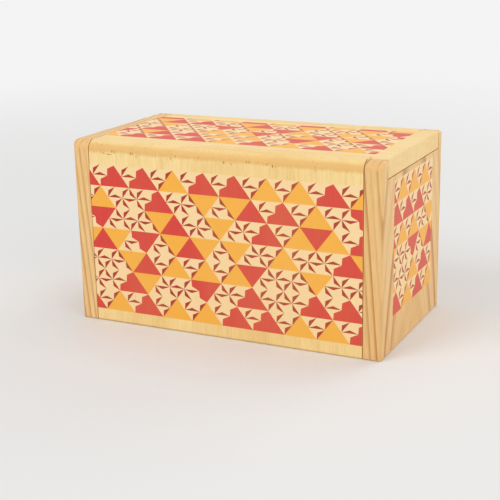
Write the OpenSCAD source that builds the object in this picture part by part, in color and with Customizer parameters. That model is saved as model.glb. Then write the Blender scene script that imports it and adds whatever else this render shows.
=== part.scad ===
// Wooden puzzle box with sliding ends, lid and bottom, and hidden lock keys.
// Millimetres. X runs along the box, Y from front to back, Z up.
// The origin is at the middle of the box's base.
// The bottom, the left end and the bottom key repeat the lid, the right end
// and the lid key, turned half a turn about the Y axis.

/* [Box] */
// Length over the end panels
box_w = 120; // [110:1:180]
// Depth from front to back
box_d = 66; // [62:1:100]
// Height
box_h = 69; // [60:1:100]
// Radius of the long top edges
top_edge_r = 3.8; // [1:0.1:4.5]
// Radius of the long bottom edges
foot_edge_r = 0.8; // [0.4:0.1:1.5]
// Radius of the end panels' outer edges
end_edge_r = 1.2; // [0.4:0.1:2]

/* [Boards] */
// Thickness of the front and back boards
board_t = 7.5; // [7:0.1:9]
// Thickness of the end panels
end_t = 6.5; // [6:0.1:9]
// Thickness of the inner end walls
wall_t = 8; // [8:0.1:11]
// Thickness of the inner floor
floor_t = 3; // [2:0.1:5]
// Depth of the housings that hold the inner walls and the floor
housing_d = 2; // [1:0.1:2.5]
// Height of the hidden compartment under the inner floor
hidden_h = 10; // [8:0.5:20]

/* [Lid and bottom] */
// Thickness of the lid and the bottom panel
slab_t = 6.5; // [6:0.1:8]
// Thickness of their side tongues
tongue_t = 3; // [2:0.1:3.5]
// Reach of their side tongues into the boards
tongue_w = 2.5; // [1.5:0.1:3]
// Width of the stop battens
batten_w = 5; // [4:0.1:8]
// Height of the stop battens
batten_h = 4.5; // [3:0.1:6]
// Length of a stop batten's end that is cut back from the boards
batten_end = 1; // [0.5:0.1:3]
// Recess of the bottom panel's outer face above the base
bottom_lift = 0.4; // [0:0.1:1]

/* [Sliding ends] */
// Travel of an end panel
end_travel = 6; // [4:0.1:7]
// Distance of a rail's middle from the front or back board
rail_inset = 5.5; // [5:0.1:6.5]
// Width of a rail at its neck
rail_neck = 5; // [4:0.1:6]
// Width of a rail at its head
rail_head = 8; // [7:0.1:8.5]
// Reach of a rail into the end panel
rail_out = 3.5; // [2:0.1:4]
// Depth of a rail in the inner wall
rail_in = 2; // [1:0.1:3]
// Distance of a rail's ends from the inner wall's ends
rail_end = 1.5; // [1:0.1:4]
// Diameter of the stop pegs
peg_d = 3; // [2:0.1:3.2]
// Reach of a stop peg past the inner wall
peg_out = 2.8; // [2:0.1:3.5]

/* [Keys] */
// Width of a lock key
key_w = 12; // [10:0.5:12.5]
// Thickness of a lock key
key_t = 3; // [2.5:0.1:3.5]
// Travel of a lock key
key_travel = 8; // [6:0.5:8.5]
// Height of a lock key's arm
key_arm_h = 3.2; // [2.5:0.1:5]
// Ledge of the inner wall that closes the key's recess
key_ledge = 2; // [1.5:0.1:2.5]
// Diameter of a lock pin
pin_d = 3; // [2.5:0.1:3.2]
// Distance of a lock pin's axis behind the inner wall's outer face
pin_in = 4; // [3.9:0.1:4.3]
// Reach of a lock pin into the lid or the bottom panel
pin_out = 2.4; // [1.5:0.1:3]
// Wood left around a lock pin at the end of the arm
pin_rim = 0.8; // [0.5:0.1:1]
// Radius of the nail groove in a lock key
nick_r = 1.2; // [0.8:0.1:1.5]
// Depth of the nail groove
nick_depth = 0.9; // [0.5:0.1:1.2]

/* [Fits] */
// Gap between faces that slide on each other
slide_gap = 0.3; // [0.2:0.05:0.4]

/* [Hidden] */
$fn = 64;

// How far a cutting shape runs past the face that it cuts
over = 1;

// Half sizes of the box
half_w = box_w / 2;
half_d = box_d / 2;
// Inner face of an end panel, outer and inner face of an inner wall, as distances from the middle
end_in = half_w - end_t;
wall_out = end_in - slide_gap;
wall_in = wall_out - wall_t;
// Inner face of the front and back boards
board_in = half_d - board_t;

// Underside of the lid, and the top and bottom of the inner walls
lid_under = box_h - slab_t;
wall_top = lid_under - slide_gap;
wall_foot = slab_t + slide_gap;
// Underside of the inner floor
floor_z = wall_foot + hidden_h;

// Side face of the lid, side face of its tongues, and the groove's bottom
slab_side = board_in - slide_gap;
tongue_side = board_in + tongue_w;
groove_side = tongue_side + slide_gap;

// Near face of the lid's batten, as a distance from the middle
batten_out = wall_in - slide_gap;

// Top and bottom of the left rails, and half their width at a depth in the end panel
rail_foot = wall_foot + rail_end;
rail_top = wall_top - rail_end;
rail_y = board_in - rail_inset;
function rail_half(depth) = rail_neck / 2 + (rail_head - rail_neck) / 2 * depth / rail_out;

// Key recess: half width, floor, and depth in the inner wall
recess_half = (key_w + key_travel) / 2 + slide_gap;
recess_foot = wall_foot + key_ledge;
recess_d = key_t + slide_gap;
// Key: top, length of its arm, and its middle when the lid is free
key_top = wall_top - slide_gap;
key_foot = recess_foot + slide_gap;
arm_len = pin_in + pin_d / 2 + pin_rim;
key_free_y = -key_travel / 2;
key_lock_y = key_travel / 2;
// Nail groove: the part of the key that the raised end panel uncovers
nick_top = wall_foot + end_travel;
// Slot in the lid for the lock pin
pin_slot_r = pin_d / 2 + slide_gap;
pin_slot_d = pin_out + slide_gap;

// Stop peg: midway between the key's recess and the rail, at half height
peg_y = (recess_half + rail_y - rail_head / 2) / 2;
peg_z = box_h / 2;
peg_slot_r = peg_d / 2 + slide_gap;

outer_wood = [0.93, 0.80, 0.56];
edge_wood = [0.90, 0.72, 0.46];
inner_wood = [0.86, 0.72, 0.50];
hard_wood = [0.62, 0.42, 0.24];

// Half a turn about the Y axis: swaps left and right, top and bottom
module turned() { translate([0, 0, box_h]) rotate([0, 180, 0]) children(); }

// Front and back copies
module both_sides() {
    children();
    mirror([0, 1, 0]) children();
}

// What is cut off a square corner to round it; the arc's centre is the origin
module corner_bite(r) {
    difference() {
        square(r + over);
        circle(r);
    }
}

// Rectangle about the Y axis of its plane, from height 0, with its own radii above and below
module rounded_outline(half, height, r_top, r_foot) {
    difference() {
        translate([-half, 0]) square([2 * half, height]);
        for (side = [0, 1]) mirror([side, 0]) {
            translate([half - r_top, height - r_top]) corner_bite(r_top);
            translate([half - r_foot, r_foot]) mirror([0, 1]) corner_bite(r_foot);
        }
    }
}

// Turns a shape drawn in Y and Z into a bar along X
module along_x(x_low, x_high) {
    translate([x_low, 0, 0])
        rotate([90, 0, 90]) linear_extrude(x_high - x_low) children();
}

// Cross-section of the whole box in Y and Z
module box_section() { rounded_outline(half_d, box_h, top_edge_r, foot_edge_r); }

// Cross-section of the lid in Y and Z where it runs between the boards
module slab_section(face_z) {
    translate([-slab_side, lid_under]) square([2 * slab_side, face_z - lid_under]);
    translate([-tongue_side, lid_under]) square([2 * tongue_side, tongue_t]);
}

// Cross-section of the lid's wider head, which fills the notch of the end panel
module head_section(face_z) {
    translate([-tongue_side, lid_under]) square([2 * tongue_side, face_z - lid_under]);
}

// Cross-section of the space that the lid runs in between the boards, open at the top
module slab_space() {
    translate([-board_in, wall_top]) square([2 * board_in, slab_t + slide_gap + over]);
    translate([-groove_side, wall_top]) square([2 * groove_side, tongue_t + 2 * slide_gap]);
}

// Cross-section of an end panel's notch, as wide as the grooves so that the panel clears the tongues
module notch_space() {
    translate([-groove_side, wall_top]) square([2 * groove_side, slab_t + slide_gap + over]);
}

// Upright slot or bar with round ends, along Z, bored along X
module slot_along_z(x_low, x_high, y, z_low, z_high, r) {
    for (z = [z_low, z_high])
        translate([x_low, y, z]) rotate([0, 90, 0]) cylinder(h = x_high - x_low, r = r);
    translate([x_low, y - r, z_low]) cube([x_high - x_low, 2 * r, z_high - z_low]);
}

// Front board: grooves for lid and bottom, housings for the inner walls and floor
module front_board() {
    color(outer_wood) difference() {
        along_x(-wall_out, wall_out) intersection() {
            box_section();
            translate([-half_d, 0]) square([board_t, box_h]);
        }
        along_x(-half_w, half_w) slab_space();
        turned() along_x(-half_w, half_w) slab_space();
        inner_wall_block();
        turned() inner_wall_block();
        floor_block();
    }
}

module back_board() { mirror([0, 1, 0]) front_board(); }

// Plain blocks of the inner wall and the inner floor, in their housings
module inner_wall_block() {
    translate([-wall_out, -board_in - housing_d, wall_foot])
        cube([wall_t, 2 * (board_in + housing_d), wall_top - wall_foot]);
}

module floor_block() {
    translate([-wall_in - housing_d, -board_in - housing_d, floor_z])
        cube([2 * (wall_in + housing_d), 2 * (board_in + housing_d), floor_t]);
}

// Left inner wall before the floor's housing: recess for the lid key, seats for rails and peg
module wall_blank() {
    difference() {
        inner_wall_block();
        translate([-wall_out - over, -recess_half, recess_foot])
            cube([recess_d + over, 2 * recess_half, wall_top - recess_foot + over]);
        translate([-wall_out - over, -recess_half, key_top - key_arm_h - slide_gap])
            cube([arm_len + slide_gap + over, 2 * recess_half, key_arm_h + 2 * slide_gap + over]);
        both_sides() rail();
        peg();
    }
}

module left_inner_wall() {
    color(inner_wood) difference() {
        wall_blank();
        floor_block();
    }
}

module right_inner_wall() {
    color(inner_wood) difference() {
        turned() wall_blank();
        floor_block();
    }
}

module inner_floor() { color(inner_wood) floor_block(); }

// Dovetail rail, glued in the inner wall, front one of the left end
module rail() {
    translate([-wall_out, -rail_y, rail_foot]) linear_extrude(rail_top - rail_foot) polygon([
        [rail_in, -rail_neck / 2],
        [rail_in, rail_neck / 2],
        [0, rail_neck / 2],
        [-rail_out, rail_head / 2],
        [-rail_out, -rail_head / 2],
        [0, -rail_neck / 2]
    ]);
}

// Groove in the end panel for a rail: open below, closed above the rail's top
module rail_groove() {
    deep = rail_out + slide_gap;
    translate([-wall_out, -rail_y, 0]) linear_extrude(rail_top + slide_gap) polygon([
        [over, rail_half(-over) + slide_gap],
        [-deep, rail_half(deep) + slide_gap],
        [-deep, -rail_half(deep) - slide_gap],
        [over, -rail_half(-over) - slide_gap]
    ]);
}

module left_front_rail() { color(hard_wood) rail(); }
module left_back_rail() { color(hard_wood) mirror([0, 1, 0]) rail(); }
module right_front_rail() { color(hard_wood) turned() rail(); }
module right_back_rail() { color(hard_wood) turned() mirror([0, 1, 0]) rail(); }

// Stop peg: a dowel through the left inner wall into the end panel's slot
module peg() {
    translate([-wall_out - peg_out, peg_y, peg_z])
        rotate([0, 90, 0]) cylinder(h = peg_out + wall_t, d = peg_d);
}

module left_stop_peg() { color(hard_wood) peg(); }
module right_stop_peg() { color(hard_wood) turned() peg(); }

// Left end panel before its notch and grooves, rounded at its outer edges
module end_blank() {
    intersection() {
        along_x(-half_w, -end_in) box_section();
        linear_extrude(box_h) difference() {
            translate([-half_w, -half_d]) square([end_t, box_d]);
            for (side = [0, 1]) mirror([0, side])
                translate([-half_w + end_edge_r, half_d - end_edge_r])
                    mirror([1, 0]) corner_bite(end_edge_r);
        }
        translate([0, half_d, 0]) rotate([90, 0, 0]) linear_extrude(box_d) difference() {
            translate([-half_w, 0]) square([end_t, box_h]);
            translate([-half_w + end_edge_r, box_h - end_edge_r])
                mirror([1, 0]) corner_bite(end_edge_r);
            translate([-half_w + foot_edge_r, foot_edge_r])
                mirror([1, 0]) mirror([0, 1]) corner_bite(foot_edge_r);
        }
    }
}

// What is cut from the left end panel: notch for the bottom panel, rail grooves, peg slot
module end_cuts() {
    turned() along_x(-half_w - over, half_w + over) notch_space();
    both_sides() rail_groove();
    slot_along_z(-wall_out - peg_out - slide_gap, -end_in + over, peg_y,
        peg_z - end_travel, peg_z, peg_slot_r);
}

module left_end_panel() {
    color(edge_wood) difference() {
        end_blank();
        end_cuts();
    }
}

module right_end_panel() {
    color(edge_wood) difference() {
        mirror([1, 0, 0]) end_blank();
        turned() end_cuts();
    }
}

// Lid or bottom panel, drawn as the lid: tongues, a wider head, and the slot for the lock pin
module slab(face_z) {
    color(outer_wood) difference() {
        union() {
            along_x(-wall_out, end_in) slab_section(face_z);
            along_x(end_in, half_w) head_section(face_z);
        }
        translate([0, 0, lid_under - over]) linear_extrude(pin_slot_d + over) pin_slot();
    }
}

// The pin crosses the slab between its two places and leaves at the slab's end when it is free
module pin_slot() {
    pin_x = -wall_out + pin_in;
    for (y = [key_free_y, key_lock_y]) translate([pin_x, y]) circle(pin_slot_r);
    translate([pin_x - pin_slot_r, key_free_y]) square([2 * pin_slot_r, key_travel]);
    translate([-wall_out - over, key_free_y - pin_slot_r]) square([pin_in + over, 2 * pin_slot_r]);
}

module lid_panel() { slab(box_h); }
module bottom_panel() { turned() slab(box_h - bottom_lift); }

// Cross batten under the lid: keeps it flat and stops it at the far inner wall
module batten() {
    color(inner_wood)
        translate([-batten_out, -board_in + batten_end, lid_under - batten_h])
            cube([batten_w, 2 * (board_in - batten_end), batten_h]);
}

module lid_batten() { batten(); }
module bottom_batten() { turned() batten(); }

// Lock key in its free place: a flat bar, with an arm over the inner wall for the lock pin
module key() {
    color(hard_wood) difference() {
        translate([-wall_out, key_free_y - key_w / 2, 0]) {
            translate([0, 0, key_foot]) cube([key_t, key_w, key_top - key_foot]);
            translate([0, 0, key_top - key_arm_h]) cube([arm_len, key_w, key_arm_h]);
        }
        translate([-wall_out - nick_r + nick_depth, key_free_y, key_foot - over])
            cylinder(h = nick_top - key_foot + over, r = nick_r);
        key_pin();
    }
}

// Lock pin: a dowel through the key's arm that stands up into the lid
module key_pin() {
    color(hard_wood)
        translate([-wall_out + pin_in, key_free_y, key_top - key_arm_h])
            cylinder(h = lid_under + pin_out - key_top + key_arm_h, d = pin_d);
}

module lid_key() { key(); }
module lid_key_pin() { key_pin(); }
module bottom_key() { turned() key(); }
module bottom_key_pin() { turned() key_pin(); }

front_board();
back_board();
left_inner_wall();
right_inner_wall();
inner_floor();
left_front_rail();
left_back_rail();
right_front_rail();
right_back_rail();
left_stop_peg();
right_stop_peg();
left_end_panel();
right_end_panel();
lid_panel();
lid_batten();
bottom_panel();
bottom_batten();
lid_key();
lid_key_pin();
bottom_key();
bottom_key_pin();
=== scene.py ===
"""Looks of the wooden puzzle box: woods, printed triangle mosaic, eased edges, light and camera.

Lengths are in metres in the part's own frame: X along the box, Y front to back, Z up.
"""

import math
import random
from collections import namedtuple

import bpy
from mathutils import Matrix, Vector
from mathutils.geometry import delaunay_2d_cdt


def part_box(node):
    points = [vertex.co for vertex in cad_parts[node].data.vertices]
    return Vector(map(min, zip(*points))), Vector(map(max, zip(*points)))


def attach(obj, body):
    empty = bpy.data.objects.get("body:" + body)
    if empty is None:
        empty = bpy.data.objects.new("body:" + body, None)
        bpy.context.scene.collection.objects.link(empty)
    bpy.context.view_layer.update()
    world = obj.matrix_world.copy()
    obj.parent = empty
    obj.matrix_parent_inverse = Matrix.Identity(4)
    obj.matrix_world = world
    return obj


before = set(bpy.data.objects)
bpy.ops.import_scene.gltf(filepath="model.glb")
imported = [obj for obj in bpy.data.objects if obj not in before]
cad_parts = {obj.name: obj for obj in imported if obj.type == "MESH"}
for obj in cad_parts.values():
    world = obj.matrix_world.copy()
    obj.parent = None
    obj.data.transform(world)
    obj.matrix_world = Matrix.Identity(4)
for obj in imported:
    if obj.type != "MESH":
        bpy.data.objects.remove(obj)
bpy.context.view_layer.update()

MM = 0.001
X, Y, Z = Vector((1, 0, 0)), Vector((0, 1, 0)), Vector((0, 0, 1))

# ---------------------------------------------------------------- colours

# The sRGB curve is a straight line up to its knee, and a power above it
SRGB_MOST = 255
SRGB_KNEE = 0.04045
SRGB_SLOPE = 12.92
SRGB_OFFSET = 0.055
SRGB_POWER = 2.4


def srgb(red, green, blue):
    """Linear RGBA of an 8-bit sRGB colour."""

    def linear(value):
        value /= SRGB_MOST
        if value <= SRGB_KNEE:
            return value / SRGB_SLOPE
        return ((value + SRGB_OFFSET) / (1 + SRGB_OFFSET)) ** SRGB_POWER

    return (linear(red), linear(green), linear(blue), 1)


# Early wood, darker patches in it, cut fibre ends, late wood lines, and open pores
Tones = namedtuple("Tones", "early patch end late pore")

BOARD_TONES = Tones(
    early=srgb(254, 226, 161),
    patch=srgb(242, 202, 128),
    end=srgb(232, 180, 102),
    late=srgb(210, 152, 82),
    pore=srgb(124, 78, 34),
)
END_TONES = Tones(
    early=srgb(247, 209, 146),
    patch=srgb(232, 180, 112),
    # The end panels' end tone is kept pale, near their early wood: a painted highlight on their top
    # faces and roundings
    end=srgb(234, 186, 118),
    late=srgb(176, 106, 44),
    pore=srgb(116, 76, 38),
)
INNER_TONES = Tones(
    early=srgb(232, 204, 156),
    patch=srgb(214, 178, 124),
    end=srgb(200, 160, 106),
    late=srgb(182, 138, 86),
    pore=srgb(112, 78, 44),
)
FLOOR_TONES = Tones(
    early=srgb(224, 192, 144),
    patch=srgb(201, 160, 108),
    end=srgb(184, 140, 90),
    late=srgb(168, 122, 74),
    pore=srgb(104, 70, 40),
)
HARD_TONES = Tones(
    early=srgb(168, 116, 70),
    patch=srgb(134, 86, 48),
    end=srgb(112, 70, 38),
    late=srgb(90, 54, 28),
    pore=srgb(48, 28, 14),
)
# Torn fibres and flecks
TORN_TONE = srgb(148, 98, 34)

INK_CREAM = srgb(253, 220, 166)
INK_YELLOW = srgb(251, 181, 68)
INK_RED = srgb(219, 67, 59)
INK_SHARD = srgb(176, 49, 39)

# ---------------------------------------------------------------- shader helpers

# Sockets of a colour mix node, which repeats the same names for each kind of value
MIX_FACTOR, MIX_FIRST, MIX_SECOND = 0, 6, 7
MIX_RESULT = 2


class Nodes:
    """A short way to add and join the shader nodes of a material or a world."""

    def __init__(self, owner):
        self.owner = owner
        owner.use_nodes = True
        self.tree = owner.node_tree
        self.tree.nodes.clear()

    def add(self, kind, **settings):
        node = self.tree.nodes.new(kind)
        for key, value in settings.items():
            setattr(node, key, value)
        return node

    def put(self, socket, value):
        """Links an output to the socket, or sets the socket to a plain value."""
        if isinstance(value, bpy.types.NodeSocket):
            self.tree.links.new(value, socket)
        else:
            socket.default_value = value

    def math(self, operation, first, second=0.0):
        node = self.add("ShaderNodeMath", operation=operation)
        self.put(node.inputs[0], first)
        self.put(node.inputs[1], second)
        return node.outputs[0]

    def plus(self, first, second):
        return self.math("ADD", first, second)

    def times(self, first, second):
        return self.math("MULTIPLY", first, second)

    def vector(self, operation, first, second, output="Vector"):
        node = self.add("ShaderNodeVectorMath", operation=operation)
        self.put(node.inputs[0], first)
        self.put(node.inputs[1], second)
        return node.outputs[output]

    def axis(self, vector, name):
        """One component of a vector."""
        node = self.add("ShaderNodeSeparateXYZ")
        self.put(node.inputs[0], vector)
        return node.outputs[name]

    def place(self):
        """The point's place in the part's frame, with every joint at rest."""
        return self.add("ShaderNodeTexCoord").outputs["Object"]

    def ramp(self, value, span, start=0.0, end=1.0):
        """Goes smoothly from start to end as the value crosses the span, a low and a high value."""
        node = self.add("ShaderNodeMapRange", interpolation_type="SMOOTHSTEP")
        low, high = span
        limits = {"From Min": low, "From Max": high, "To Min": start, "To Max": end}
        self.put(node.inputs["Value"], value)
        for name, limit in limits.items():
            self.put(node.inputs[name], limit)
        return node.outputs["Result"]

    def fall(self, value, span):
        """Goes smoothly from 1 to 0 as the value crosses the span."""
        return self.ramp(value, span, 1.0, 0.0)

    def noise(self, vector, scale=1.0, detail=3.0, roughness=0.5):
        node = self.add("ShaderNodeTexNoise")
        settings = {"Vector": vector, "Scale": scale, "Detail": detail, "Roughness": roughness}
        for name, setting in settings.items():
            self.put(node.inputs[name], setting)
        return node.outputs["Fac"]

    def cells(self, vector, scale=1.0):
        """Outputs of a field of cells: the Distance to a cell's point, and the cell's own Color."""
        node = self.add("ShaderNodeTexVoronoi")
        self.put(node.inputs["Vector"], vector)
        self.put(node.inputs["Scale"], scale)
        return node.outputs

    def mix(self, factor, first, second):
        node = self.add("ShaderNodeMix", data_type="RGBA")
        for index, setting in ((MIX_FACTOR, factor), (MIX_FIRST, first), (MIX_SECOND, second)):
            self.put(node.inputs[index], setting)
        return node.outputs[MIX_RESULT]

    def mix_shader(self, factor, first, second):
        node = self.add("ShaderNodeMixShader")
        for index, setting in enumerate((factor, first, second)):
            self.put(node.inputs[index], setting)
        return node.outputs[0]

    def seen(self):
        """1 for rays that show a thing, directly or in gloss or glass, and 0 for those of light."""
        path = self.add("ShaderNodeLightPath").outputs
        mirrored = self.math("MAXIMUM", path["Is Glossy Ray"], path["Is Transmission Ray"])
        return self.math("MAXIMUM", path["Is Camera Ray"], mirrored)


# ---------------------------------------------------------------- woods

# Each seed shifts the grain by so many metres
SEED_SHIFT = (0.37, 0.23, 0.51)
# Grain coordinates run in millimetres across the fibres, and STRETCH times slower along them
PER_METRE = 1000.0
STRETCH = 14.0

# Cloudy patches, per metre across and along the fibres
CLOUD_ACROSS, CLOUD_ALONG = 42.0, 9.0
CLOUD_DETAIL = 2.0
CLOUD_SPAN = (0.3, 0.72)

# How far the growth rings lean along the fibres, the radius to which they curve across them, and
# how many of their bends go to one cloudy patch
RING_LEAN = 0.08
RING_RADIUS = 75 * MM
RING_BEND_SCALE = 0.8
# A ring darkens slowly over the first span of its width, and pales fast over the second
LATE_RISE = (0.4, 0.86)
LATE_FALL = (0.88, 1.0)
# Spread of the rings' strengths, and the weakest of them
STRENGTH_SPAN = (0.1, 0.9)
STRENGTH_LEAST = 0.15

# Fine fibres, broader streaks, and pores that gather in patches
FIBRE_SCALE = 1.6
FIBRE_DETAIL = 5.0
FIBRE_ROUGHNESS = 0.62
STREAK_SCALE = 0.3
STREAK_SPAN = (0.36, 0.7)
PORE_SCALE = 1.15
PORE_SPAN = (0.06, 0.2)
PORE_PATCH_SCALE = 0.16
PORE_PATCH_DETAIL = 2.0
PORE_PATCH_SPAN = (0.5, 0.64)

# How far the surface faces along the fibres: where end grain starts to show, where a painted
# highlight of the light from above pales it again, and how much of its tone that painted highlight
# leaves on a flat cut
END_SPAN = (0.06, 0.3)
END_HIGHLIGHT_SPAN = (0.45, 0.85)
END_LEFT_UNDER_HIGHLIGHT = 0.15


class Grain:
    """The signals of a piece of wood, each from 0 to 1, worked out from its place."""

    def __init__(self, nodes, fibre, ring_axis, ring_gap, ring_bend, seed):
        place = nodes.place()
        shifted = nodes.vector("ADD", place, tuple(shift * seed for shift in SEED_SHIFT))

        def stretched(across, along):
            scale = [across] * 3
            scale["XYZ".index(fibre)] = along
            return nodes.vector("MULTIPLY", shifted, tuple(scale))

        fibres = stretched(PER_METRE, PER_METRE / STRETCH)
        clouds = stretched(CLOUD_ACROSS, CLOUD_ALONG)
        self.cloud = nodes.ramp(nodes.noise(clouds, detail=CLOUD_DETAIL), CLOUD_SPAN)

        # Growth rings lie across ring_axis, lean, curve and bend slowly; each has its own strength
        side_axis = next(axis for axis in "XYZ" if axis not in (fibre, ring_axis))
        side = nodes.axis(place, side_axis)
        lean = nodes.times(nodes.axis(place, fibre), RING_LEAN)
        curve = nodes.times(nodes.times(side, side), 1 / (2 * RING_RADIUS))
        across_rings = nodes.plus(nodes.axis(place, ring_axis), nodes.plus(lean, curve))
        depth = nodes.times(across_rings, PER_METRE / ring_gap)
        bend = nodes.times(nodes.noise(clouds, RING_BEND_SCALE), ring_bend)
        count = nodes.plus(depth, bend)
        phase = nodes.math("FRACT", count)
        late = nodes.times(nodes.ramp(phase, LATE_RISE), nodes.fall(phase, LATE_FALL))
        chance = nodes.add("ShaderNodeTexWhiteNoise", noise_dimensions="1D")
        nodes.put(chance.inputs["W"], nodes.plus(nodes.math("FLOOR", count), seed))
        strength = nodes.ramp(chance.outputs["Value"], STRENGTH_SPAN, STRENGTH_LEAST)
        self.ring = nodes.times(late, strength)

        self.fibre = nodes.noise(fibres, FIBRE_SCALE, FIBRE_DETAIL, FIBRE_ROUGHNESS)
        self.streak = nodes.ramp(nodes.noise(fibres, STREAK_SCALE), STREAK_SPAN)
        dot = nodes.fall(nodes.cells(fibres, PORE_SCALE)["Distance"], PORE_SPAN)
        gathered = nodes.noise(fibres, PORE_PATCH_SCALE, PORE_PATCH_DETAIL)
        self.pore = nodes.times(dot, nodes.ramp(gathered, PORE_PATCH_SPAN))

        # Where the surface cuts the fibres across, and where it only starts to, as on a rounding; a
        # painted highlight pales the end tone again where the cut faces straight along the fibres
        normal = nodes.add("ShaderNodeTexCoord").outputs["Normal"]
        facing = nodes.math("ABSOLUTE", nodes.axis(normal, fibre))
        self.end = nodes.ramp(facing, END_SPAN)
        self.rounded = nodes.ramp(facing, END_HIGHLIGHT_SPAN, 1.0, END_LEFT_UNDER_HIGHLIGHT)
        self.turning = nodes.times(self.end, self.rounded)


# Edges paled by wear and by a painted highlight: their radius, and how well a rounded normal still
# agrees with the true one
WEAR_AND_HIGHLIGHT_RADIUS = 0.7 * MM
WEAR_AND_HIGHLIGHT_SAMPLES = 6
WEAR_AND_HIGHLIGHT_SPAN = (0.8, 0.995)


def edge_wear_and_highlight(nodes):
    """1 on an edge and 0 on a flat face, by how far a rounded normal turns from the true one; these
    edges are paled by wear and by a painted highlight.
    """
    rounded = nodes.add("ShaderNodeBevel", samples=WEAR_AND_HIGHLIGHT_SAMPLES)
    nodes.put(rounded.inputs["Radius"], WEAR_AND_HIGHLIGHT_RADIUS)
    flat = nodes.add("ShaderNodeNewGeometry").outputs["Normal"]
    agree = nodes.vector("DOT_PRODUCT", rounded.outputs[0], flat, "Value")
    return nodes.fall(agree, WEAR_AND_HIGHLIGHT_SPAN)


# A thin satin lacquer: its weight and its roughness. The wood below it: its gloss, and how much
# smoother and rougher the fibres make it over a span of their strength
LACQUER_COAT = 0.08
LACQUER_ROUGHNESS = 0.28
SPECULAR_LEVEL = 0.25
ROUGH_SPAN = (0.25, 0.75)
SMOOTHER, ROUGHER = 0.07, 0.09
# Depth of an open pore, and the height of the fibres as a share of it
RELIEF_DEPTH = 0.08 * MM
FIBRE_HEIGHT = 0.35


def surface_of(nodes, colour, grain, roughness, coat, bump):
    """Joins the colour to a lacquered surface, whose roughness and height follow the grain."""
    surface = nodes.add("ShaderNodeBsdfPrincipled")
    out = nodes.add("ShaderNodeOutputMaterial")
    nodes.put(out.inputs["Surface"], surface.outputs[0])
    nodes.put(surface.inputs["Base Color"], colour)
    rough = nodes.ramp(grain.fibre, ROUGH_SPAN, roughness - SMOOTHER, roughness + ROUGHER)
    nodes.put(surface.inputs["Roughness"], rough)
    nodes.put(surface.inputs["Coat Weight"], coat)
    nodes.put(surface.inputs["Coat Roughness"], LACQUER_ROUGHNESS)
    nodes.put(surface.inputs["Specular IOR Level"], SPECULAR_LEVEL)
    height = nodes.math("SUBTRACT", nodes.times(grain.fibre, FIBRE_HEIGHT), grain.pore)
    relief = nodes.add("ShaderNodeBump")
    nodes.put(relief.inputs["Strength"], bump)
    nodes.put(relief.inputs["Distance"], RELIEF_DEPTH)
    nodes.put(relief.inputs["Height"], height)
    nodes.put(surface.inputs["Normal"], relief.outputs[0])
    return nodes.owner


# A dark fleck in a board: its place along X and Z, half its length and half its width
Fleck = namedtuple("Fleck", "x z length width")
# Squared distance from a fleck's middle over which it fades, 1 at its edge
FLECK_SPAN = (0.2, 1.0)


def flecks_of(nodes, flecks):
    """Dark flecks in an upright board, each an ellipse."""
    place = nodes.place()
    total = 0.0
    for fleck in flecks:
        along = nodes.math("SUBTRACT", nodes.axis(place, "X"), fleck.x)
        along = nodes.math("DIVIDE", along, fleck.length)
        above = nodes.math("SUBTRACT", nodes.axis(place, "Z"), fleck.z)
        above = nodes.math("DIVIDE", above, fleck.width)
        squared = nodes.plus(nodes.times(along, along), nodes.times(above, above))
        total = nodes.plus(total, nodes.fall(squared, FLECK_SPAN))
    return total


# The cutter that rounded the top edges started at a ragged line and tore some fibres there. These
# are the line's spread, its slow waver and fine drips, and where the cut shows, in spreads above it
TEAR_REACH = 1.3 * MM
WAVER_SCALE = 160.0
DRIP_SCALE = (1100.0, 100.0, 90.0)
DRIP_DETAIL = 2.0
CUT_SPAN = (0.4, 1.5)
# Torn specks: the distance between them, how closely they lie along X, Y and Z as a share of that,
# and the span of chances that gives a speck its size, from least to most, in cells
TEAR_GAP = 1.1 * MM
SPECK_STRETCH = (1.0, 0.2, 0.5)
SPECK_CHANCE = (0.2, 1.0)
SPECK_LEAST, SPECK_MOST = 0.08, 0.42
SPECK_EDGE = (0.35, 1.0)
# They gather in patches, and start to fade at this share of the spread off the line
TEAR_PATCH_SCALE = 90.0
TEAR_PATCH_DETAIL = 2.0
TEAR_PATCH_SPAN = (0.34, 0.46)
TEAR_CORE = 0.3


def cut_zone(nodes, level):
    """1 above the ragged line at which a cutter started to round the top edge."""
    place = nodes.place()
    waver = nodes.noise(place, WAVER_SCALE)
    drips = nodes.noise(nodes.vector("MULTIPLY", place, DRIP_SCALE), detail=DRIP_DETAIL)
    reach = nodes.times(nodes.plus(waver, drips), TEAR_REACH)
    height = nodes.plus(nodes.axis(place, "Z"), reach)
    return nodes.ramp(height, [level + share * TEAR_REACH for share in CUT_SPAN])


def torn_fibres(nodes, level):
    """Specks where the cutter tore the upright fibres, in patches along a level."""
    place = nodes.place()
    stretch = tuple(share / TEAR_GAP for share in SPECK_STRETCH)
    cells = nodes.cells(nodes.vector("MULTIPLY", place, stretch))
    size = nodes.ramp(nodes.axis(cells["Color"], "X"), SPECK_CHANCE, SPECK_LEAST, SPECK_MOST)
    speck = nodes.fall(nodes.math("DIVIDE", cells["Distance"], size), SPECK_EDGE)
    patch = nodes.ramp(nodes.noise(place, TEAR_PATCH_SCALE, TEAR_PATCH_DETAIL), TEAR_PATCH_SPAN)
    off = nodes.math("ABSOLUTE", nodes.math("SUBTRACT", nodes.axis(place, "Z"), level))
    near = nodes.fall(off, (TEAR_CORE * TEAR_REACH, TEAR_REACH))
    return nodes.times(nodes.times(speck, patch), near)


# Most that each signal changes the colour of the wood
CLOUD_SHARE = 0.5
STREAK_SHARE = 0.28
FIBRE_SPAN = (0.42, 0.74)
FIBRE_SHARE = 0.22
# End tone, which a painted highlight pales on flat cuts
TURNING_SHARE = 0.75
# Pores show faintly on long grain, and strongly on end grain
PORE_LONG_SHARE, PORE_END_SHARE = 0.14, 0.9
TORN_SHARE = 0.75
FLECK_SHARE = 0.7
# Edges pale by wear and by a painted highlight along them
WEAR_AND_HIGHLIGHT_SHARE = 0.35


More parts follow.
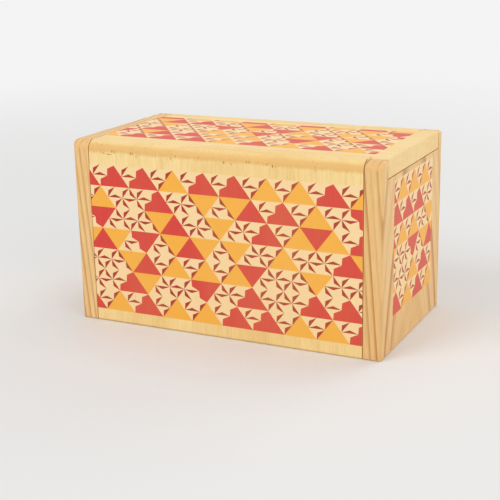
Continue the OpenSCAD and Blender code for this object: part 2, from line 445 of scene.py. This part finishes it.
def wood(name, tones, fibre, ring_axis, seed, ring_gap=4.0, ring_bend=1.6, ring_share=0.2,
         roughness=0.46, coat=LACQUER_COAT, bump=0.5, flecks=(), torn_level=None):
    """A plain wood: cloudy early wood, late wood lines, fibres, pores, end grain that a painted
    highlight pales on flat cuts, and edges paled by wear and by a painted highlight.

    ring_gap is the width of a ring in millimetres, and ring_bend how many rings they stray."""
    nodes = Nodes(bpy.data.materials.new(name))
    grain = Grain(nodes, fibre, ring_axis, ring_gap, ring_bend, seed)
    turning = grain.turning
    marks = []
    if torn_level is not None:
        # End tone from the ragged line up, paled by the same painted highlight
        started = nodes.times(grain.rounded, cut_zone(nodes, torn_level))
        turning = nodes.math("MAXIMUM", turning, started)
        marks.append(nodes.times(torn_fibres(nodes, torn_level), TORN_SHARE))
    if flecks:
        marks.append(nodes.times(flecks_of(nodes, flecks), FLECK_SHARE))
    colour = nodes.mix(nodes.times(grain.cloud, CLOUD_SHARE), tones.early, tones.patch)
    colour = nodes.mix(nodes.times(grain.ring, ring_share), colour, tones.late)
    colour = nodes.mix(nodes.times(grain.streak, STREAK_SHARE), colour, tones.patch)
    colour = nodes.mix(nodes.ramp(grain.fibre, FIBRE_SPAN, 0.0, FIBRE_SHARE), colour, tones.late)
    # End grain tone, which a painted highlight of the light from above pales on flat cuts
    colour = nodes.mix(nodes.times(turning, TURNING_SHARE), colour, tones.end)
    pore_share = nodes.ramp(grain.end, (0.0, 1.0), PORE_LONG_SHARE, PORE_END_SHARE)
    colour = nodes.mix(nodes.times(grain.pore, pore_share), colour, tones.pore)
    for mark in marks:
        colour = nodes.mix(mark, colour, TORN_TONE)
    # Edges pale towards early wood: wear, and a painted highlight along them
    colour = nodes.mix(nodes.times(edge_wear_and_highlight(nodes), WEAR_AND_HIGHLIGHT_SHARE), colour, tones.early)
    return surface_of(nodes, colour, grain, roughness, coat, bump)


# Ink: fibres over which it thins, how much patches and pores show in it, and its surface
INK_THIN_SPAN = (0.5, 0.8)
INK_CLOUD_SHARE = 0.1
INK_PORE_SHARE = 0.2
INK_ROUGHNESS = 0.5
INK_BUMP = 0.35
# The growth rings don't show in it
INK_RING_GAP, INK_RING_BEND = 5.0, 1.6


def ink(name, tint, fibre, seed, cover):
    """Printing ink on board wood: some of the grain shows through it, and the pores stay open."""
    nodes = Nodes(bpy.data.materials.new(name))
    grain = Grain(nodes, fibre, "Y", INK_RING_GAP, INK_RING_BEND, seed)
    base = BOARD_TONES.patch
    colour = nodes.mix(nodes.ramp(grain.fibre, INK_THIN_SPAN, 0.0, 1.0 - cover), tint, base)
    colour = nodes.mix(nodes.times(grain.cloud, INK_CLOUD_SHARE), colour, base)
    colour = nodes.mix(nodes.times(grain.pore, INK_PORE_SHARE), colour, BOARD_TONES.pore)
    return surface_of(nodes, colour, grain, INK_ROUGHNESS, LACQUER_COAT, INK_BUMP)


# Two dark flecks near the top left corner of the front board
FRONT_FLECKS = (
    Fleck(x=-44.6 * MM, z=64.4 * MM, length=1.7 * MM, width=0.22 * MM),
    Fleck(x=-46.9 * MM, z=64.7 * MM, length=0.9 * MM, width=0.14 * MM),
)
# Height of the ragged line, just below the rounding of the top edges
ROUNDING_START = 65.0 * MM

front_wood = wood("front_wood", BOARD_TONES, fibre="Z", ring_axis="Y", seed=1,
                  flecks=FRONT_FLECKS, torn_level=ROUNDING_START)
back_wood = wood("back_wood", BOARD_TONES, fibre="Z", ring_axis="Y", seed=2,
                 torn_level=ROUNDING_START)
lid_wood = wood("lid_wood", BOARD_TONES, fibre="X", ring_axis="Z", seed=3)
bottom_wood = wood("bottom_wood", BOARD_TONES, fibre="X", ring_axis="Z", seed=4, ring_share=0.4)
end_wood = wood("end_wood", END_TONES, fibre="Z", ring_axis="X", seed=15,
                ring_gap=2.3, ring_bend=0.4, ring_share=0.8)
inner_wood = wood("inner_wood", INNER_TONES, fibre="Y", ring_axis="X", seed=6,
                  ring_gap=3.0, ring_share=0.4, roughness=0.62, coat=0.0)
floor_wood = wood("floor_wood", FLOOR_TONES, fibre="X", ring_axis="Z", seed=7,
                  ring_gap=3.0, ring_share=0.5, roughness=0.62, coat=0.0)
hard_wood = wood("hard_wood", HARD_TONES, fibre="Z", ring_axis="Y", seed=8,
                 ring_gap=1.6, ring_share=0.5, roughness=0.5, coat=0.1)

# The rails, pegs, keys and pins are of hard wood
WOOD_OF_NODE = {
    "front_board": front_wood,
    "back_board": back_wood,
    "lid_panel": lid_wood,
    "bottom_panel": bottom_wood,
    "left_end_panel": end_wood,
    "right_end_panel": end_wood,
    "left_inner_wall": inner_wood,
    "right_inner_wall": inner_wood,
    "lid_batten": inner_wood,
    "bottom_batten": inner_wood,
    "inner_floor": floor_wood,
}

# Sanding eases every sharp edge by this much; edges that turn less than the limit stay
EASED_EDGE = 0.2 * MM
EASED_TURN = math.radians(35)
EASED_SEGMENTS = 2
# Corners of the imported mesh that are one, the turn up to which its faces are one, and corners that
# the eased edges bring together
PACKED_WELD = 0.01 * MM
FLAT_TURN = math.radians(0.5)
EASED_WELD = 0.001 * MM


def weld(piece, distance):
    """Joins the corners that lie within this distance of each other."""
    piece.modifiers.new("weld", "WELD").merge_threshold = distance


def ease_edges(piece):
    """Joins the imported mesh's faces and rounds its sharp edges a little, as sanding does."""
    weld(piece, PACKED_WELD)
    flat = piece.modifiers.new("flat", "DECIMATE")
    flat.decimate_type = "DISSOLVE"
    flat.angle_limit = FLAT_TURN
    round_off = piece.modifiers.new("ease", "BEVEL")
    round_off.width = EASED_EDGE
    round_off.segments = EASED_SEGMENTS
    round_off.limit_method = "ANGLE"
    round_off.angle_limit = EASED_TURN
    round_off.harden_normals = True
    weld(piece, EASED_WELD)


for node_name, node_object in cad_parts.items():
    node_object.data.materials.clear()
    node_object.data.materials.append(WOOD_OF_NODE.get(node_name, hard_wood))
    ease_edges(node_object)

# ---------------------------------------------------------------- the printed mosaic

# Kinds of triangle; each is the index of its ink in a print's list of materials
CREAM, YELLOW, RED, SHARD = range(4)
# Share of each kind where the choice is free, and the most cream triangles side by side
KIND_SHARES = {CREAM: 0.46, YELLOW: 0.27, RED: 0.27}
MOST_CREAM = 3

# Base of a triangle, height of a row, and the same height for an equilateral triangle of base 1
TRIANGLE_BASE = 12.2 * MM
ROW_HEIGHT = 7.935 * MM
EQUILATERAL = math.sqrt(3) / 2
# A row counts only if it covers more than this share of its height
ROW_SLIVER = 1e-6
# Triangles, half a base apart, that a row has to spare at its ends
SPARE_PLACES = 3
# How far the point of a pinwheel blade stands off its base, in bases
BLADE_REACH = 0.125
# How far the ink stands above the wood, and how far it soaks in
INK_LIFT = 0.05 * MM
INK_SOAK = 0.02 * MM
# The triangulation keeps the triangles inside the polygons, and joins corners this close, in
# millimetres
CUT_INSIDE = 1
CUT_WELD = 1e-4


def draw_kinds(rows, places, seed):
    """Kinds of the triangles of a mosaic, by (row, place).

    Yellow and red never meet their own colour across an edge. The first and last row are toothed:
    the triangles that point down are cream, and those that point up aren't."""
    draw = random.Random(seed)
    kinds = {}
    for row in range(rows):
        creams = 0
        for place in range(places):
            up = (row + place) % 2 == 0
            beside = {kinds.get((row, place - 1)), None if up else kinds.get((row - 1, place))}
            choices = [kind for kind in KIND_SHARES if kind == CREAM or kind not in beside]
            if row in (0, rows - 1):
                choices = [kind for kind in choices if (kind == CREAM) != up]
            elif creams >= MOST_CREAM and len(choices) > 1:
                choices.remove(CREAM)
            kind = draw.choices(choices, [KIND_SHARES[choice] for choice in choices])[0]
            creams = creams + 1 if kind == CREAM else 0
            kinds[row, place] = kind
    return kinds


def blades(corners):
    """The four blades of the pinwheel in a cream triangle: flat triangles on half an edge's length.

    corners are the triangle's left, right and far corners. The first two blades lie on lines that
    join the middles of its edges, and the last two on its right edge."""
    left, right, far = corners
    middle_flat = (left + right) / 2
    middle_left = (left + far) / 2
    middle_right = (right + far) / 2
    # The ends of each blade's base, then the point that the blade leans towards
    bases = (
        (middle_flat, middle_left, left),
        (middle_left, middle_right, middle_flat),
        (right, middle_right, middle_flat),
        (middle_right, far, middle_left),
    )
    shapes = []
    for start, end, toward in bases:
        middle = (start + end) / 2
        along = (end - start).normalized()
        away = toward - middle
        away -= along * away.dot(along)
        shapes.append([start, end, middle + away.normalized() * BLADE_REACH])
    return shapes


def mosaic(width, height, offset, seed):
    """Polygons that cover a rectangle, as (kind, corners). Rows are whole from the foot up.

    offset shifts the rows to the right, in bases."""
    rows = math.ceil(height / ROW_HEIGHT - ROW_SLIVER)
    places = 2 * math.ceil(width / TRIANGLE_BASE) + SPARE_PLACES
    kinds = draw_kinds(rows, places, seed)
    squash = Vector((TRIANGLE_BASE, ROW_HEIGHT / EQUILATERAL))
    lift = Vector((offset * TRIANGLE_BASE, height - rows * ROW_HEIGHT))
    shapes = []
    for (row, place), kind in kinds.items():
        top, foot = row * EQUILATERAL, (row + 1) * EQUILATERAL
        flat, far = (foot, top) if (row + place) % 2 == 0 else (top, foot)
        left = place / 2 - 1
        corners = [Vector((left, flat)), Vector((left + 1, flat)), Vector((left + 0.5, far))]
        shapes.append((kind, corners))
        if kind == CREAM:
            # The blades on the right edge are one shape with the next triangle where it is red
            edge_kind = RED if kinds.get((row, place + 1)) == RED else SHARD
            shapes += zip((SHARD, SHARD, edge_kind, edge_kind), blades(corners))
    return [(kind, [corner * squash + lift for corner in corners]) for kind, corners in shapes]


def counter_clockwise(corners):
    """The corners in the turning sense that the triangulation wants of every polygon."""
    first, second, third = corners
    return corners if (second - first).cross(third - first) > 0 else corners[::-1]


def add_print(name, body, materials, corner, across, down, width, height, offset, seed):
    """Lays a printed sheet of mosaic on a face, top left corner first as one looks at the face."""
    outward = down.cross(across)
    points = [Vector(point) for point in ((0, 0), (width, 0), (width, height), (0, height))]
    polygons = [[0, 1, 2, 3]]
    kinds = [None]
    for kind, corners in mosaic(width, height, offset, seed):
        polygons.append([len(points) + index for index in range(len(corners))])
        points += counter_clockwise(corners)
        kinds.append(kind)
    # Cut in millimetres, because the triangulation joins points by an absolute distance
    cut, _, faces, _, _, sources = delaunay_2d_cdt(
        [point / MM for point in points], [], polygons, CUT_INSIDE, CUT_WELD)
    # A face of the sheet lies in the rectangle (polygon 0); a blade covers the triangle under it
    sheet = [(face[::-1], max(kinds[index] for index in source if index))
             for face, source in zip(faces, sources) if 0 in source and len(source) > 1]
    used = sorted({index for face, _ in sheet for index in face})
    order = {old: new for new, old in enumerate(used)}
    origin = corner + outward * INK_LIFT
    places = [origin + across * cut[old].x * MM + down * cut[old].y * MM for old in used]
    mesh = bpy.data.meshes.new(name)
    mesh.from_pydata(places, [], [[order[index] for index in face] for face, _ in sheet])
    for material in materials:
        mesh.materials.append(material)
    for polygon, (_, kind) in zip(mesh.polygons, sheet):
        polygon.material_index = kind
    piece = bpy.data.objects.new(name, mesh)
    bpy.context.collection.objects.link(piece)
    layer = piece.modifiers.new("layer", "SOLIDIFY")
    layer.thickness = INK_LIFT + INK_SOAK
    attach(piece, body)


# Each ink: name, tint, and how much of the wood it covers where a fibre stands up
TINTS = (
    ("cream", INK_CREAM, 0.7),
    ("yellow", INK_YELLOW, 0.9),
    ("red", INK_RED, 0.93),
    ("shard", INK_SHARD, 0.93),
)


def inks(name, fibre, seed):
    """The inks of a print in the order of the kinds of triangle."""
    return [ink(f"{name}_{tint_name}", tint, fibre, seed, cover)
            for tint_name, tint, cover in TINTS]


FRONT_LOW, FRONT_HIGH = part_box("front_board")
BACK_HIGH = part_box("back_board")[1]
LID_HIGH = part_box("lid_panel")[1]
LEFT_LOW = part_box("left_end_panel")[0]
RIGHT_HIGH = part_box("right_end_panel")[1]

# The print on the front and back: plain band below it, rows, and the seam's distance from the first
# whole triangle at the foot, in bases
PLAIN_FOOT = 4.9 * MM
FACE_ROWS = 7
FACE_OFFSET = 0.36
BOARD_WIDTH = FRONT_HIGH.x - FRONT_LOW.x
FACE_HEIGHT = FACE_ROWS * ROW_HEIGHT
FACE_TOP = PLAIN_FOOT + FACE_HEIGHT
# The print on the lid keeps off the front and back faces, and the prints on the ends are as wide
LID_MARGIN = 11.7 * MM
LID_DEPTH = BACK_HIGH.y - FRONT_LOW.y - 2 * LID_MARGIN
LID_OFFSET = -0.01
END_ROWS = 6
END_HEIGHT = END_ROWS * ROW_HEIGHT
END_OFFSET = 0.25

add_print(
    "front_print", "carcass", inks("front", "Z", seed=1),
    corner=Vector((FRONT_LOW.x, FRONT_LOW.y, FACE_TOP)), across=X, down=-Z,
    width=BOARD_WIDTH, height=FACE_HEIGHT, offset=FACE_OFFSET, seed=899)
add_print(
    "back_print", "carcass", inks("back", "Z", seed=2),
    corner=Vector((BACK_HIGH.x, BACK_HIGH.y, FACE_TOP)), across=-X, down=-Z,
    width=BOARD_WIDTH, height=FACE_HEIGHT, offset=FACE_OFFSET, seed=2836)
add_print(
    "lid_print", "lid", inks("lid", "X", seed=3),
    corner=Vector((FRONT_LOW.x, BACK_HIGH.y - LID_MARGIN, LID_HIGH.z)), across=X, down=-Y,
    width=BOARD_WIDTH, height=LID_DEPTH, offset=LID_OFFSET, seed=813)
add_print(
    "left_end_print", "left_end", inks("left_end", "Z", seed=4),
    corner=Vector((LEFT_LOW.x, LID_DEPTH / 2, FACE_TOP)), across=-Y, down=-Z,
    width=LID_DEPTH, height=END_HEIGHT, offset=END_OFFSET, seed=1068)
add_print(
    "right_end_print", "right_end", inks("right_end", "Z", seed=5),
    corner=Vector((RIGHT_HIGH.x, -LID_DEPTH / 2, FACE_TOP)), across=Y, down=-Z,
    width=LID_DEPTH, height=END_HEIGHT, offset=END_OFFSET, seed=2426)

# ---------------------------------------------------------------- floor and backdrop

BACKDROP = (0.9, 0.9, 0.9, 1)
WORLD_COLOUR = (1, 1, 1, 1)
WORLD_STRENGTH = 0.54
# Half the floor's side, in metres
FLOOR_REACH = 4.0
FLOOR_COLOUR = (0.82, 0.82, 0.815, 1)
FLOOR_ROUGHNESS = 0.9
# Distances from the object's middle between which the floor turns into the backdrop
FADE_SPAN = (0.16, 0.75)

floor_mesh = bpy.data.meshes.new("floor")
floor_signs = ((-1, -1), (1, -1), (1, 1), (-1, 1))
floor_corners = [(x * FLOOR_REACH, y * FLOOR_REACH, 0) for x, y in floor_signs]
floor_mesh.from_pydata(floor_corners, [], [(0, 1, 2, 3)])
floor = bpy.data.objects.new("floor", floor_mesh)
bpy.context.collection.objects.link(floor)

floor_nodes = Nodes(bpy.data.materials.new("floor"))
floor_surface = floor_nodes.add("ShaderNodeBsdfPrincipled")
floor_nodes.put(floor_surface.inputs["Base Color"], FLOOR_COLOUR)
floor_nodes.put(floor_surface.inputs["Roughness"], FLOOR_ROUGHNESS)
floor_glow = floor_nodes.add("ShaderNodeEmission")
floor_nodes.put(floor_glow.inputs["Color"], BACKDROP)
floor_distance = floor_nodes.vector("LENGTH", floor_nodes.place(), (0, 0, 0), "Value")
floor_share = floor_nodes.times(floor_nodes.ramp(floor_distance, FADE_SPAN), floor_nodes.seen())
floor_blend = floor_nodes.mix_shader(floor_share, floor_surface.outputs[0], floor_glow.outputs[0])
floor_out = floor_nodes.add("ShaderNodeOutputMaterial")
floor_nodes.put(floor_out.inputs["Surface"], floor_blend)
floor_mesh.materials.append(floor_nodes.owner)

# The world lights evenly, and shows as a pale backdrop
world_nodes = Nodes(bpy.data.worlds.new("studio"))
even_light = world_nodes.add("ShaderNodeBackground")
world_nodes.put(even_light.inputs["Strength"], WORLD_STRENGTH)
world_nodes.put(even_light.inputs["Color"], WORLD_COLOUR)
backdrop = world_nodes.add("ShaderNodeBackground")
world_nodes.put(backdrop.inputs["Color"], BACKDROP)
world_blend = world_nodes.mix_shader(world_nodes.seen(), even_light.outputs[0], backdrop.outputs[0])
world_out = world_nodes.add("ShaderNodeOutputWorld")
world_nodes.put(world_out.inputs["Surface"], world_blend)
bpy.context.scene.world = world_nodes.owner

# ---------------------------------------------------------------- light


def area_light(name, place, size, power):
    """A square soft box that looks at the middle of the object."""
    data = bpy.data.lights.new(name, "AREA")
    data.shape = "SQUARE"
    data.size = size
    data.energy = power
    light = bpy.data.objects.new(name, data)
    light.location = place
    middle = Vector((0, 0, LID_HIGH.z / 2))
    light.rotation_euler = (middle - Vector(place)).to_track_quat("-Z", "Y").to_euler()
    bpy.context.collection.objects.link(light)


area_light("key", place=(-0.5, -0.9, 0.9), size=0.7, power=5.6)
area_light("fill", place=(0.9, -0.6, 0.5), size=0.8, power=2.6)
area_light("top", place=(0.1, 0.3, 1.2), size=0.8, power=2.0)
area_light("back", place=(0.5, 0.9, 0.4), size=0.8, power=3.2)

# ---------------------------------------------------------------- camera

# The camera stands right of the front and a little above the box, as measured from the photograph
CAMERA_PLACE = (177.8 * MM, -372.2 * MM, 143.7 * MM)
CAMERA_YAW = math.radians(26.107)
CAMERA_PITCH = math.radians(16.131)
CAMERA_ROLL = math.radians(1.166)
FOCAL_PIXELS = 1129.4
PICTURE_PIXELS = 500
# Width of the sensor in millimetres, as Blender's camera takes it
SENSOR = 36.0

camera_data = bpy.data.cameras.new("camera")
camera_data.sensor_width = SENSOR
camera_data.lens = FOCAL_PIXELS / PICTURE_PIXELS * SENSOR
camera = bpy.data.objects.new("camera", camera_data)
forward = Vector((
    -math.sin(CAMERA_YAW) * math.cos(CAMERA_PITCH),
    math.cos(CAMERA_YAW) * math.cos(CAMERA_PITCH),
    -math.sin(CAMERA_PITCH)))
turn = forward.to_track_quat("-Z", "Y").to_matrix() @ Matrix.Rotation(-CAMERA_ROLL, 3, "Z")
camera.matrix_world = Matrix.Translation(CAMERA_PLACE) @ turn.to_4x4()
bpy.context.collection.objects.link(camera)
bpy.context.scene.camera = camera
bpy.context.scene.view_settings.view_transform = "Standard"
